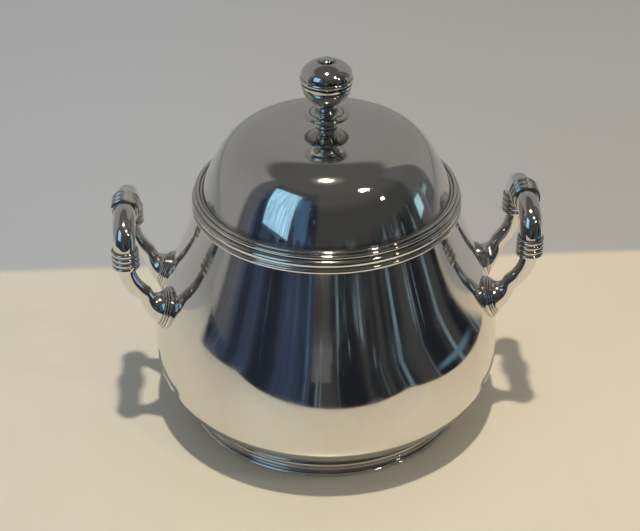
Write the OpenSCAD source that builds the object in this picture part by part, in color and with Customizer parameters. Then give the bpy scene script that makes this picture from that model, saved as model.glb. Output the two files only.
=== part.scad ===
// Lidded silver sugar bowl with two arched handles, a domed lift-off lid and a turned finial.
// Millimetres. The foot rests on z = 0, the bowl's axis is Z and the handles lie along X.

/* [Bowl] */
// Largest radius of the body, at the belly
belly_r = 61.3; // [50:0.1:75]
// Height of the belly above the table
belly_z = 26; // [20:0.5:34]
// Height of the mouth, where the lid seats
mouth_z = 85; // [70:0.5:102]
// Outside radius of the shell at the neck and mouth
neck_r = 44.2; // [36:0.1:54]
// Radius of the body where it meets the foot
waist_r = 46.8; // [40:0.1:54]
// Height of the body's joint with the foot
waist_z = 5.2; // [4:0.1:9]
// Thickness of the spun sheet of the body
bowl_wall = 0.9; // [0.6:0.1:1.6]
// How far the centre of the floor is pushed up
floor_rise = 1.2; // [0:0.1:3]

/* [Bowl rim and foot] */
// Height of the moulded band round the mouth
rim_band_h = 4.8; // [3.5:0.1:7]
// How far the rim band stands out from the neck
rim_band_out = 1.9; // [1:0.1:3]
// How far the foot stands out from the body's joint with it
foot_out = 3.7; // [2:0.1:6]
// Height of the wire that the foot stands on
foot_wire_h = 1.2; // [0.8:0.1:2]
// Height of the ridge above the foot wire
foot_ridge_z = 3.6; // [2.5:0.1:6]
// Thickness of the foot ring at its groove
foot_wall = 2.2; // [1.2:0.1:4]

/* [Handles] */
// How far each upright handle collar stands out from the root of its arm
arm_out = 12.6; // [10:0.1:20]
// Angle between an arm and the line through both handles
arm_angle = 12.1; // [8:0.1:20]
// Place of the arm's root along the body, from 0 at the belly to 1 at the neck
root_place = 0.41; // [0.25:0.01:0.7]
// Height of the upright collars above the root of the arm
collar_rise = 18.9; // [14:0.1:26]
// Length of an upright collar
collar_h = 7.2; // [5:0.1:10]
// Height of the top collar's centre line above the upright collars
crown_rise = 7.8; // [6:0.1:12]
// Length of the top collar
crown_h = 7.4; // [5:0.1:10]
// Radius of the round grip rod
grip_r = 3.8; // [3:0.1:5]
// Radius of the thinner arm rod
arm_r = 2.9; // [2.2:0.1:4]
// Bend radius of the arm below its collar
arm_bend = 15; // [6:0.5:16]
// Share of the grip's quarter turn taken by its tighter bend, in degrees
grip_turn = 60; // [50:1:70]
// Radius of the round plate at the root of each arm
root_r = 7.5; // [6:0.1:9]
// Length of the flare from the root plate to the arm
root_flare = 10; // [5:0.1:10.5]
// Radius of the pegs that join rods, collars and roots
peg_r = 1.7; // [1.2:0.1:2.2]
// Depth of a peg in its socket
peg_h = 2.2; // [1.5:0.1:3]

/* [Lid] */
// How far the foot of the dome is set in from the neck
dome_inset = 1.7; // [1:0.1:3]
// Height of the dome above its seat in the band
dome_h = 22.5; // [14:0.1:32]
// Fullness of the dome's shoulder, as a share of its radius
dome_full = 0.68; // [0.5:0.01:0.85]
// Thickness of the dome's sheet
dome_wall = 0.8; // [0.6:0.1:1.4]
// Height of the band round the lid
lid_band_h = 2.4; // [2:0.1:5]
// How far the lid band stands out from the neck
lid_band_out = 1; // [0.4:0.1:2]
// Depth of the locating ring below the lid's seat
bezel_h = 6; // [4:0.5:10]
// Free space between the locating ring and the mouth
bezel_gap = 0.4; // [0.3:0.05:0.8]

/* [Finial] */
// Radius of the ball at its girdle
ball_r = 8.85; // [7:0.05:11]
// Height of the ball's lower cup
cup_h = 8; // [6:0.1:11]
// Height of the girdle ring
girdle_h = 2.3; // [1.6:0.1:3]
// Height of the ball's upper cap
cap_h = 4.9; // [3.5:0.1:7]
// Radius of the button on top of the ball
button_r = 2.4; // [1.6:0.1:3.5]
// Radius of the flat collar below the ball
disc_r = 7.7; // [6:0.1:10]
// Height of the flat collar's rim above the dome
disc_rise = 3.9; // [3:0.1:6]
// Radius of the bead the finial stands on
base_r = 3.7; // [3:0.1:5]
// Radius of the threaded stud through the finial
stud_r = 1.5; // [1.2:0.1:2]

/* [Fits] */
// Clearance between a peg and its socket
peg_gap = 0.05; // [0.02:0.01:0.15]
// Step between neighbouring points on the curved sections
curve_steps = 18; // [10:1:30]

/* [Hidden] */
$fn = 96;

mouth_r = neck_r - bowl_wall;
neck_z = mouth_z - rim_band_h;
foot_r = waist_r + foot_out;

// One point of a cubic curve through four control points.
function bez(p, t) = pow(1 - t, 3) * p[0] + 3 * t * pow(1 - t, 2) * p[1]
    + 3 * t * t * (1 - t) * p[2] + pow(t, 3) * p[3];
function curve(p, first = 0) = [for (i = [first:curve_steps]) bez(p, i / curve_steps)];
function unit(v) = v / norm(v);
// Points moved square to the line they form, towards its left side.
function shifted(pts, d) = [for (i = [0:len(pts) - 1])
    let (a = pts[max(i - 1, 0)], b = pts[min(i + 1, len(pts) - 1)], t = unit(b - a))
    [max(pts[i][0] - d * t[1], 0), pts[i][1] + d * t[0]]];
function reversed(pts) = [for (i = [len(pts) - 1:-1:0]) pts[i]];

// Section of the body, from the middle of the floor up to the neck.
floor_z = waist_z - 1.8;
neck_slope = 0.385;
neck_pull = 22;
flank = [
    [belly_r, belly_z],
    [belly_r, belly_z + 0.33 * (neck_z - belly_z)],
    [neck_r + neck_slope * neck_pull, neck_z - neck_pull],
    [neck_r, neck_z]
];
underside = [
    [waist_r, waist_z],
    [waist_r + 0.54 * (belly_r - waist_r), waist_z + 0.19 * (belly_z - waist_z)],
    [belly_r, belly_z - 0.53 * (belly_z - waist_z)],
    [belly_r, belly_z]
];
floor_line = [
    [0, floor_z + floor_rise],
    [0.55 * waist_r, floor_z + floor_rise],
    [waist_r - 8, floor_z - 0.9],
    [waist_r, waist_z]
];
body_outer = concat(curve(floor_line), curve(underside, 1), curve(flank, 1), [[neck_r, mouth_z]]);
body_inner = concat([[0, body_outer[0][1] + bowl_wall]],
    [for (i = [1:len(body_outer) - 3]) shifted(body_outer, bowl_wall)[i]],
    [[mouth_r, neck_z], [mouth_r, mouth_z]]);

// Root of an arm on the flank.
root_pt = bez(flank, root_place);
root_ahead = bez(flank, root_place + 0.01);
root_behind = bez(flank, root_place - 0.01);
root_lean = atan2(root_behind[0] - root_ahead[0], root_ahead[1] - root_behind[1]);

// Arm: a straight rod up from the root, then a bend that ends upright under the collar.
collar_reach = root_pt[0] + arm_out;
collar_z = root_pt[1] + collar_rise;
arm_straight_out = arm_out - arm_bend;
arm_straight = sqrt(pow(arm_straight_out, 2) + pow(collar_rise, 2) - pow(arm_bend, 2));
arm_slope = atan2(-collar_rise, -arm_straight_out) - atan2(-arm_bend, -arm_straight);

// Grip: two tangent bends from the upright collar to the level top collar.
collar_x = collar_reach * cos(arm_angle);
collar_y = collar_reach * sin(arm_angle);
crown_z = collar_z + collar_h + crown_rise;
grip_in = collar_y - crown_h / 2;
grip_det = sin(grip_turn) * cos(grip_turn) - (1 - cos(grip_turn)) * (1 - sin(grip_turn));
grip_bend = (crown_rise * cos(grip_turn) - grip_in * (1 - sin(grip_turn))) / grip_det;
grip_sweep = (grip_in - grip_bend * (1 - cos(grip_turn))) / cos(grip_turn);

// Lid levels.
dome_r = neck_r - dome_inset;
lid_band_r = neck_r + lid_band_out;
dome_sink = 0.6;
dome_z = mouth_z + lid_band_h - dome_sink;
crest_z = dome_z + dome_h;
dome_lean = 0.775;
dome_line = [
    [dome_r, dome_z],
    [dome_lean * dome_r, crest_z],
    [dome_full * dome_r, crest_z],
    [0, crest_z]
];
dome_outer = curve(dome_line);
dome_inner = concat([[dome_r - dome_wall, dome_z]],
    [for (i = [1:len(dome_outer) - 2]) shifted(dome_outer, dome_wall)[i]],
    [[0, crest_z - dome_wall]]);
bezel_r = mouth_r - bezel_gap;
bezel_wall = 0.9;
washer_h = 1;
washer_r = 4.2;
nut_h = 2.4;
nut_r = 3.1;
nut_z = crest_z - dome_wall - washer_h - nut_h;
stud_tail = 1;
stud_hole = stud_r + peg_gap;

// Finial levels, each piece standing on the one below.
disc_z = crest_z + disc_rise;
disc_edge = 1.2;
disc_under = 1.7;
neck_rise = 3.2;
cup_z = disc_z + disc_edge + neck_rise;
girdle_z = cup_z + cup_h;
cap_z = girdle_z + girdle_h;
button_z = cap_z + cap_h;
neck_rod_r = 2.9;

// Half of the section of a lathe-turned solid, spun round Z.
module turned(pts) rotate_extrude() polygon(pts);

// A round wire laid in a ring.
module ring_wire(ring, wire, z) rotate_extrude() translate([ring, z]) circle(r = wire);

// The body as a filled solid, used to seat the roots and the foot on it.
module body_solid() turned(concat(body_outer, [[0, mouth_z]]));

module dome_solid() turned(concat([[0, dome_z]], dome_outer));

// ---- Bowl ----
// Wires of the rim band: a thin lip below a fat bead.
lip_r = 0.85;
bead_r = 1.35;

module bowl_shell() color("Silver")
    turned(concat(body_outer, reversed(body_inner)));

module bowl_rim_band() color("Silver")
    rotate_extrude() difference() {
        union() {
            translate([neck_r - 0.4, neck_z + 0.3]) square([rim_band_out - 0.6, rim_band_h - 0.3]);
            translate([neck_r + rim_band_out - lip_r, neck_z + lip_r]) circle(r = lip_r);
            translate([neck_r + rim_band_out - bead_r, mouth_z - bead_r - 0.05]) circle(r = bead_r);
        }
        translate([neck_r - 3, neck_z - 1]) square([3, rim_band_h + 2]);
    }

module foot_ring() color("Silver") difference() {
    rotate_extrude() difference() {
        polygon([
            [foot_r - 1.2 - foot_wall, foot_wire_h], [foot_r - 1.2, foot_wire_h],
            [foot_r - 1.5, foot_wire_h + 0.7], [foot_r - 1.2, foot_ridge_z - 0.7],
            [foot_r - 0.5, foot_ridge_z - 0.4], [foot_r - 0.3, foot_ridge_z],
            [foot_r - 0.7, foot_ridge_z + 0.4], [waist_r + 1.7, foot_ridge_z + 0.9],
            [waist_r + 1.1, foot_ridge_z + 1.7], [waist_r + 1.2, waist_z + 1],
            [waist_r - 1.2, waist_z + 0.6], [waist_r - 1.4, foot_ridge_z]
        ]);
    }
    body_solid();
}

module foot_wire() color("Silver")
    rotate_extrude() union() {
        translate([foot_r - 3.4, 0]) square([2.8, foot_wire_h]);
        translate([foot_r - foot_wire_h / 2, foot_wire_h / 2]) circle(d = foot_wire_h);
    }

// ---- Handles: "way" is 1 or -1 for the two arms of one handle, the right handle being drawn first ----
module on_side(side) rotate([0, 0, side < 0 ? 180 : 0]) children();

module at_root(way) rotate([0, 0, way * arm_angle])
    translate([root_pt[0], 0, root_pt[1]]) children();

module at_collar(way) rotate([0, 0, way * arm_angle])
    translate([collar_reach, 0, collar_z]) children();

// Heights of the three steps of the root plate, and how far each stands in from the one below.
root_steps = [0.8, 1.5, 2.2];
root_step_in = 0.6;
// How far the wide end of the flare stands in from the edge of the plate, and its height.
root_flare_in = 1.6;
root_flare_low = 0.6;

// The concave flare that grows from the root plate into the arm.
module root_flare_solid() {
    flare_out = root_r - root_flare_in - arm_r;
    turned(concat(
        [[0, -2], [arm_r + flare_out, -2]],
        [for (i = [0:10])
            let (t = i / 10)
            [arm_r + flare_out * pow(1 - t, 2), root_flare_low + (root_flare - root_flare_low) * t]],
        [[0, root_flare]]));
}

module root_piece(way) difference() {
    at_root(way) {
        rotate([0, 90 - root_lean, 0]) for (i = [0:2])
            translate([0, 0, -2]) cylinder(r = root_r - i * root_step_in, h = 2 + root_steps[i]);
        rotate([0, 90 - arm_slope, 0]) root_flare_solid();
    }
    body_solid();
    at_root(way) rotate([0, 90 - arm_slope, 0]) translate([0, 0, root_flare - peg_h - peg_gap])
        cylinder(r = peg_r + peg_gap, h = peg_h + 1);
}

// Two lengths of rod that run into each other differ by this much, so that they join as one.
rod_step = 0.03;
rod_lap = 0.4;

module arm_piece(way) {
    at_collar(way) translate([-arm_bend, 0, 0]) rotate([90, 0, 0]) rotate([0, 0, arm_slope - 90])
        rotate_extrude(angle = 90 - arm_slope) translate([arm_bend, 0]) circle(r = arm_r);
    at_root(way) rotate([0, 90 - arm_slope, 0]) {
        translate([0, 0, root_flare]) cylinder(r = arm_r - rod_step, h = arm_straight - root_flare + rod_lap);
        translate([0, 0, root_flare - peg_h]) cylinder(r = peg_r, h = peg_h + 1);
    }
    at_collar(way) translate([0, 0, -rod_lap]) cylinder(r = peg_r, h = peg_h + rod_lap);
}

// A reeded collar along Z: a core with a row of round reeds and a socket in each end.
module reeded(h, core, reed, count) difference() {
    union() {
        cylinder(r = core, h = h);
        for (i = [0:count - 1]) ring_wire(core, reed, reed + (h - 2 * reed) * i / (count - 1));
    }
    translate([0, 0, -1]) cylinder(r = peg_r + peg_gap, h = peg_h + peg_gap + 1);
    translate([0, 0, h - peg_h - peg_gap]) cylinder(r = peg_r + peg_gap, h = peg_h + 1);
}

upright_reed = 0.82;
top_reed = 1.1;

module collar_piece(way) at_collar(way) reeded(collar_h, grip_r + 0.1, upright_reed, 4);

module top_collar_piece() translate([collar_x, crown_h / 2, crown_z]) rotate([90, 0, 0])
    reeded(crown_h, grip_r + 0.2, top_reed, 3);

module grip_piece(way) translate([collar_x, 0, 0]) rotate([0, 0, way < 0 ? 180 : 0]) {
    grip_z = collar_z + collar_h;
    // Tighter bend, rising from the upright collar.
    translate([0, collar_y - grip_bend, grip_z]) rotate([90, 0, 90])
        rotate_extrude(angle = grip_turn) translate([grip_bend, 0]) circle(r = grip_r - rod_step);
    // Wider bend, levelling out at the top collar.
    translate([0, crown_h / 2, crown_z - grip_sweep]) rotate([90, 0, 90])
        rotate([0, 0, grip_turn - rod_lap]) rotate_extrude(angle = 90 - grip_turn + rod_lap)
        translate([grip_sweep, 0]) circle(r = grip_r);
    translate([0, collar_y, grip_z - peg_h]) cylinder(r = peg_r, h = peg_h + rod_lap);
    translate([0, crown_h / 2 + rod_lap, crown_z]) rotate([90, 0, 0])
        cylinder(r = peg_r, h = peg_h + rod_lap);
}

module left_front_root() color("Silver") on_side(-1) root_piece(1);
module left_rear_root() color("Silver") on_side(-1) root_piece(-1);
module right_front_root() color("Silver") on_side(1) root_piece(-1);
module right_rear_root() color("Silver") on_side(1) root_piece(1);

module left_front_arm() color("Silver") on_side(-1) arm_piece(1);
module left_rear_arm() color("Silver") on_side(-1) arm_piece(-1);
module right_front_arm() color("Silver") on_side(1) arm_piece(-1);
module right_rear_arm() color("Silver") on_side(1) arm_piece(1);

module left_front_collar() color("Silver") on_side(-1) collar_piece(1);
module left_rear_collar() color("Silver") on_side(-1) collar_piece(-1);
module right_front_collar() color("Silver") on_side(1) collar_piece(-1);
module right_rear_collar() color("Silver") on_side(1) collar_piece(1);

module left_front_grip() color("Silver") on_side(-1) grip_piece(1);
module left_rear_grip() color("Silver") on_side(-1) grip_piece(-1);
module right_front_grip() color("Silver") on_side(1) grip_piece(-1);
module right_rear_grip() color("Silver") on_side(1) grip_piece(1);

module left_top_collar() color("Silver") on_side(-1) top_collar_piece();
module right_top_collar() color("Silver") on_side(1) top_collar_piece();

// ---- Lid ----
// Wires of the lid band: a round reed below a thin one.
lid_reed_r = 0.75;
thin_reed_r = 0.55;

module lid_dome() color("Silver") difference() {
    turned(concat(dome_outer, reversed(dome_inner)));
    translate([0, 0, crest_z - 3]) cylinder(r = stud_hole, h = 6);
}

module lid_band() color("Silver") rotate_extrude() difference() {
    union() {
        translate([bezel_r, mouth_z])
            square([lid_band_r - bezel_r - lid_reed_r, lid_band_h - thin_reed_r]);
        translate([lid_band_r - lid_reed_r, mouth_z + lid_reed_r + 0.05]) circle(r = lid_reed_r);
        translate([lid_band_r - 1.5, mouth_z + lid_band_h - thin_reed_r - 0.05]) circle(r = thin_reed_r);
    }
    translate([0, mouth_z - 1]) square([bezel_r, lid_band_h + 2]);
    translate([0, dome_z]) square([dome_r, 2]);
}

module lid_bezel() color("Silver") rotate_extrude()
    translate([bezel_r - bezel_wall, mouth_z - bezel_h]) square([bezel_wall, bezel_h + dome_z - mouth_z]);

// The washer's upper face follows the inside of the dome.
module lid_washer() color("Silver") difference() {
    translate([0, 0, nut_z + nut_h]) cylinder(r = washer_r, h = washer_h);
    lid_dome();
    translate([0, 0, nut_z]) cylinder(r = stud_hole, h = nut_h + 2 * washer_h);
}

module lid_nut() color("Silver") difference() {
    translate([0, 0, nut_z]) cylinder(r = nut_r, h = nut_h, $fn = 6);
    translate([0, 0, nut_z - 1]) cylinder(r = stud_hole, h = nut_h + 2);
}

// ---- Finial ----
// How far the stud reaches into the cup, and the bead and stem of the base.
stud_reach = 3;
bead_wire = 0.65;
stem_r = 2.5;

module finial_stud() color("Silver")
    translate([0, 0, nut_z - stud_tail]) cylinder(r = stud_r, h = cup_z + stud_reach - nut_z + stud_tail);

module finial_base() color("Silver") difference() {
    union() {
        ring_wire(base_r - bead_wire, bead_wire, crest_z + bead_wire);
        translate([0, 0, crest_z - 0.5]) cylinder(r = base_r - bead_wire, h = 2 * bead_wire + 0.5);
        translate([0, 0, crest_z]) cylinder(r = stem_r, h = disc_rise - disc_under);
    }
    dome_solid();
    translate([0, 0, crest_z - 2]) cylinder(r = stud_hole, h = disc_rise + 3);
}

module finial_disc() color("Silver") difference() {
    turned([
        [0, disc_z - disc_under], [3.2, disc_z - disc_under], [disc_r - 1.6, disc_z - 0.4],
        [disc_r - 0.4, disc_z], [disc_r, disc_z + 0.35], [disc_r, disc_z + 0.85],
        [disc_r - 0.4, disc_z + disc_edge], [disc_r - 1.8, disc_z + disc_edge + 0.25],
        [disc_r - 2, disc_z + disc_edge + 0.05], [disc_r - 2.3, disc_z + disc_edge + 0.35],
        [disc_r - 3.3, disc_z + disc_edge + 0.75], [neck_rod_r + 0.7, disc_z + disc_edge + 1.5],
        [neck_rod_r + 0.15, cup_z - 0.8], [neck_rod_r, cup_z], [0, cup_z]
    ]);
    translate([0, 0, disc_z - 3]) cylinder(r = stud_hole, h = cup_z - disc_z + 5);
}

// The cup's and cap's curves end on the neck and on the button.
cup_r = ball_r - 0.35;
cup_start = asin(neck_rod_r / cup_r);
cap_end = acos(button_r / cup_r);

module finial_cup() color("Silver") difference() {
    turned(concat(
        [[0, cup_z]],
        [for (i = [0:14])
            let (a = cup_start + (90 - cup_start) * i / 14)
            [cup_r * sin(a), girdle_z - cup_h * cos(a) / cos(cup_start)]],
        [[0, girdle_z]]));
    ring_wire(cup_r + 0.12, 0.3, girdle_z - 1.3);
    translate([0, 0, cup_z - 1]) cylinder(r = stud_hole, h = stud_reach + 1 + peg_gap);
}

module finial_girdle() color("Silver") rotate_extrude() union() {
    translate([0, girdle_z]) square([ball_r - girdle_h / 2, girdle_h]);
    translate([ball_r - girdle_h / 2, girdle_z + girdle_h / 2]) circle(d = girdle_h);
}

module finial_cap() color("Silver")
    turned(concat(
        [[0, cap_z]],
        [for (i = [0:14])
            let (a = cap_end * i / 14)
            [cup_r * cos(a), cap_z + cap_h * sin(a) / sin(cap_end)]],
        [[0, button_z]]));

// The button is a low dome on a short stem.
button_h = 1.1;
button_stem = 0.3;
module finial_button() color("Silver")
    turned(concat(
        [[0, button_z], [button_r - 0.35, button_z], [button_r - 0.35, button_z + 0.2]],
        [for (i = [0:9])
            let (a = 9 * i)
            [button_r * cos(a), button_z + button_stem + (button_h - button_stem) * sin(a)]],
        [[0, button_z + button_h]]));

bowl_shell();
bowl_rim_band();
foot_ring();
foot_wire();
left_front_root();
left_rear_root();
right_front_root();
right_rear_root();
left_front_arm();
left_rear_arm();
right_front_arm();
right_rear_arm();
left_front_collar();
left_rear_collar();
right_front_collar();
right_rear_collar();
left_front_grip();
left_rear_grip();
right_front_grip();
right_rear_grip();
left_top_collar();
right_top_collar();
lid_dome();
lid_band();
lid_bezel();
lid_washer();
lid_nut();
finial_stud();
finial_base();
finial_disc();
finial_cup();
finial_girdle();
finial_cap();
finial_button();
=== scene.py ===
"""Lidded silver sugar bowl: its pieces, finishes, studio and camera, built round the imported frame."""

from __future__ import annotations

import logging
import math
from collections.abc import Callable, Sequence
from dataclasses import dataclass, field
from enum import Enum

import bpy
from mathutils import Matrix, Vector

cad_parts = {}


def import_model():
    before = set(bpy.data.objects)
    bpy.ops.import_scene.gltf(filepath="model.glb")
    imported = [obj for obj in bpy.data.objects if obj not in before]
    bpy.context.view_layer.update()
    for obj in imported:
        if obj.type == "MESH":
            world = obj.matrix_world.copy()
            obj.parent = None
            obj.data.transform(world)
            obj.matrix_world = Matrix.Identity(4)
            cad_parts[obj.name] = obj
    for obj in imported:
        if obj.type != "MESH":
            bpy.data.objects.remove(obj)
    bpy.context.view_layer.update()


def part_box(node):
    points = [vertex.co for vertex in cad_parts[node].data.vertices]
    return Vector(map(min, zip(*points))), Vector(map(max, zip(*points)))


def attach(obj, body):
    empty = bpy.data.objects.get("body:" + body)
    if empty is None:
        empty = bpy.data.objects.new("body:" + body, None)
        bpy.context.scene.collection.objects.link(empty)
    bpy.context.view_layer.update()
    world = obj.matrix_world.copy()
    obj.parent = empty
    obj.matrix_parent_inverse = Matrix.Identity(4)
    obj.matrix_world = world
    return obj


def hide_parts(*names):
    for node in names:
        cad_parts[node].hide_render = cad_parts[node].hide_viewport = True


MM = 0.001
ROUND_STEPS = 192
SMALL_STEPS = 96
ROD_STEPS = 48
LOG = logging.getLogger("sugar_bowl")


class Body(Enum):
    """The two moving bodies of the frame."""

    BOWL = "bowl"
    LID = "lid"


class Slot(Enum):
    """The material slots of the record."""

    SILVER = "polished_silver"
    FIXINGS = "fixings"


class Side(Enum):
    """The two handles."""

    LEFT = -1
    RIGHT = 1


class End(Enum):
    """The front and rear arm of a handle, front being towards -Y."""

    FRONT = -1
    REAR = 1


# ---------------------------------------------------------------- shader graph


class Term:
    """A number socket that takes part in Python arithmetic."""

    def __init__(self, graph: Graph, socket: bpy.types.NodeSocket) -> None:
        """Wrap a socket.

        Args:
            graph: The graph the socket belongs to.
            socket: The socket that carries the number.
        """
        self.graph = graph
        self.socket = socket

    def _math(self, operation: str, *values: Term | float) -> Term:
        """Add one Math node.

        Args:
            operation: The Math node's operation.
            *values: Its inputs, in order.

        Returns:
            The result.
        """
        node = self.graph.node("ShaderNodeMath", {"operation": operation}, dict(enumerate(values)))
        return Term(self.graph, node.outputs[0])

    def __add__(self, other: Term | float) -> Term:
        """Sum."""
        return self._math("ADD", self, other)

    def __radd__(self, other: float) -> Term:
        """Sum, reflected."""
        return self._math("ADD", other, self)

    def __sub__(self, other: Term | float) -> Term:
        """Difference."""
        return self._math("SUBTRACT", self, other)

    def __rsub__(self, other: float) -> Term:
        """Difference, reflected."""
        return self._math("SUBTRACT", other, self)

    def __mul__(self, other: Term | float) -> Term:
        """Product."""
        return self._math("MULTIPLY", self, other)

    def __rmul__(self, other: float) -> Term:
        """Product, reflected."""
        return self._math("MULTIPLY", other, self)

    def __truediv__(self, other: Term | float) -> Term:
        """Quotient."""
        return self._math("DIVIDE", self, other)

    def __rtruediv__(self, other: float) -> Term:
        """Quotient, reflected."""
        return self._math("DIVIDE", other, self)

    def __pow__(self, other: Term | float) -> Term:
        """Power."""
        return self._math("POWER", self, other)

    def larger(self, other: Term | float) -> Term:
        """The larger of two numbers."""
        return self._math("MAXIMUM", self, other)

    def absolute(self) -> Term:
        """The number without its sign."""
        return self._math("ABSOLUTE", self)

    def rise(self, low: float, high: float) -> Term:
        """Rise smoothly from 0 at low to 1 at high; with low above high it falls instead.

        Args:
            low: Where the result is 0.
            high: Where the result is 1.

        Returns:
            The smooth step.
        """
        settings = {"interpolation_type": "SMOOTHSTEP", "clamp": True}
        inputs = {"Value": self, "From Min": low, "From Max": high, "To Min": 0.0, "To Max": 1.0}
        if low > high:
            inputs = {"Value": self, "From Min": high, "From Max": low, "To Min": 1.0, "To Max": 0.0}
        return Term(self.graph, self.graph.node("ShaderNodeMapRange", settings, inputs).outputs["Result"])

    def inside(self, low: float, high: float, soft: float) -> Term:
        """1 between two limits and 0 outside them, with soft edges.

        Args:
            low: Lower limit.
            high: Upper limit.
            soft: Half the width of each edge.

        Returns:
            The mask.
        """
        return self.rise(low - soft, low + soft) * self.rise(high + soft, high - soft)


class Graph:
    """Adds nodes to one shader tree."""

    def __init__(self, tree: bpy.types.NodeTree) -> None:
        """Start from an empty tree."""
        self.tree = tree
        self.tree.nodes.clear()

    def node(
        self,
        kind: str,
        settings: dict[str, object] | None = None,
        inputs: dict[str | int, object] | None = None,
    ) -> bpy.types.Node:
        """Add a node, set it up and wire it.

        Args:
            kind: The node's type.
            settings: Its properties; "stops" holds a ramp's (place, colour) pairs.
            inputs: Values, Terms or sockets for its inputs, by name or number.

        Returns:
            The node.
        """
        made = self.tree.nodes.new(kind)
        for name, value in (settings or {}).items():
            if name == "stops":
                self._fill_ramp(made.color_ramp, value)
            else:
                setattr(made, name, value)
        for name, value in (inputs or {}).items():
            source = value.socket if isinstance(value, Term) else value
            if isinstance(source, bpy.types.NodeSocket):
                self.tree.links.new(source, made.inputs[name])
            else:
                made.inputs[name].default_value = source
        return made

    @staticmethod
    def _fill_ramp(ramp: bpy.types.ColorRamp, stops: Sequence[tuple[float, tuple]]) -> None:
        """Give a ramp its stops.

        Args:
            ramp: The ramp.
            stops: (place, colour) pairs in rising order.
        """
        while len(ramp.elements) < len(stops):
            ramp.elements.new(0.5)
        for element, (place, colour) in zip(ramp.elements, stops):
            element.position = place
            element.color = (*colour, 1.0)

    def noise(
        self,
        vector: bpy.types.NodeSocket,
        scale: float,
        detail: float = 2.0,
        roughness: float = 0.5,
        stretch: tuple[float, float, float] = (1.0, 1.0, 1.0),
        turn: tuple[float, float, float] = (0.0, 0.0, 0.0),
    ) -> Term:
        """Add a noise pattern.

        Args:
            vector: The coordinates.
            scale: Waves a metre.
            detail: Octaves.
            roughness: Strength of the finer octaves.
            stretch: Factor on each axis.
            turn: Rotation in degrees on each axis.

        Returns:
            The noise, about 0.5 on average.
        """
        mapped = self.node(
            "ShaderNodeMapping",
            {"vector_type": "POINT"},
            {
                "Vector": vector,
                "Rotation": tuple(math.radians(a) for a in turn),
                "Scale": stretch,
            },
        )
        made = self.node(
            "ShaderNodeTexNoise",
            {"noise_dimensions": "3D"},
            {"Vector": mapped.outputs[0], "Scale": scale, "Detail": detail, "Roughness": roughness},
        )
        return Term(self, made.outputs[0])

    def mix(self, factor: Term | float, low: object, high: object) -> bpy.types.NodeSocket:
        """Mix two colours.

        Args:
            factor: 0 gives low and 1 gives high.
            low: A colour or a socket.
            high: A colour or a socket.

        Returns:
            The mixed colour.
        """
        made = self.node("ShaderNodeMix", {"data_type": "RGBA", "clamp_factor": True}, {0: factor})
        for slot, value in ((6, low), (7, high)):
            if isinstance(value, bpy.types.NodeSocket):
                self.tree.links.new(value, made.inputs[slot])
            else:
                made.inputs[slot].default_value = (*value, 1.0)
        return made.outputs[2]


# ---------------------------------------------------------------- finishes


@dataclass(frozen=True)
class SilverFinish:
    """Polished silver plate with fine wear and faint tarnish, darker in its grooves and seams with tarnish
    and painted shade.
    """

    name: str
    tint: tuple[float, float, float] = (0.80, 0.79, 0.77)
    warm: tuple[float, float, float] = (0.74, 0.70, 0.63)
    # Colour of the tarnish and painted shade in the grooves and seams.
    recess: tuple[float, float, float] = (0.16, 0.15, 0.15)
    roughness: float = 0.05
    haze: float = 0.05
    scratch: float = 0.10
    ripple: float = 0.10
    tarnish_and_shade_depth: float = 0.8
    ripple_height: float = 0.0006
    scratch_height: float = 0.00002

    def material(self) -> bpy.types.Material:
        """Build the material.

        Returns:
            The finished material.
        """
        made = bpy.data.materials.new(self.name)
        made.use_nodes = True
        graph = Graph(made.node_tree)
        place = graph.node("ShaderNodeTexCoord").outputs["Object"]
        # How deep each point lies in a groove or seam, where tarnish and painted shade darken the silver.
        recess = Term(graph, graph.node("ShaderNodeAttribute", {"attribute_name": "recess"}).outputs["Fac"])
        cloud = graph.noise(place, 38.0, 4.0, 0.55).rise(0.38, 0.72)
        smear = graph.noise(place, 150.0, 3.0, 0.6, (1.0, 1.0, 0.35), (18.0, 35.0, 0.0)).rise(0.45, 0.75)
        marks = self._scratches(graph, place)
        colour = graph.mix(cloud * 0.55, self.tint, self.warm)
        colour = graph.mix(smear * 0.12, colour, (0.62, 0.61, 0.60))
        # Tarnish and painted shade darken the grooves and seams.
        colour = graph.mix(recess * self.tarnish_and_shade_depth, colour, self.recess)
        rough = self.roughness + cloud * self.haze * 0.5 + smear * self.haze + marks * 0.03 + recess * 0.12
        dents = graph.noise(place, 60.0, 1.0, 0.4)
        ripple = graph.node(
            "ShaderNodeBump",
            inputs={"Strength": self.ripple, "Distance": self.ripple_height, "Height": dents},
        )
        scored = graph.node(
            "ShaderNodeBump",
            {"invert": True},
            {
                "Strength": self.scratch,
                "Distance": self.scratch_height,
                "Height": marks,
                "Normal": ripple.outputs[0],
            },
        )
        shader = graph.node(
            "ShaderNodeBsdfPrincipled",
            inputs={
                "Base Color": colour,
                "Metallic": 1.0,
                "Roughness": rough,
                "Normal": scored.outputs[0],
            },
        )
        graph.node("ShaderNodeOutputMaterial", inputs={"Surface": shader.outputs[0]})
        return made

    def _scratches(self, graph: Graph, place: bpy.types.NodeSocket) -> Term:
        """Lay hairline scratches in several directions.

        Args:
            graph: The material's graph.
            place: Object coordinates.

        Returns:
            1 on a scratch and 0 beside it.
        """
        total: Term | float = 0.0
        turns = ((12.0, 8.0, 25.0), (70.0, 20.0, 130.0), (35.0, 62.0, 75.0), (5.0, 88.0, 160.0))
        for number, turn in enumerate(turns):
            lines = graph.noise(place, 300.0 + 60.0 * number, 1.0, 0.5, (7.0, 0.35, 7.0), turn)
            hair = (lines - 0.5).absolute().rise(0.016, 0.004)
            patch = graph.noise(place, 70.0 + 9.0 * number, 1.0, 0.5, (1.0, 1.0, 1.0), turn).rise(0.36, 0.80)
            total = total + hair * patch
        return total.rise(0.0, 1.4)


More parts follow.
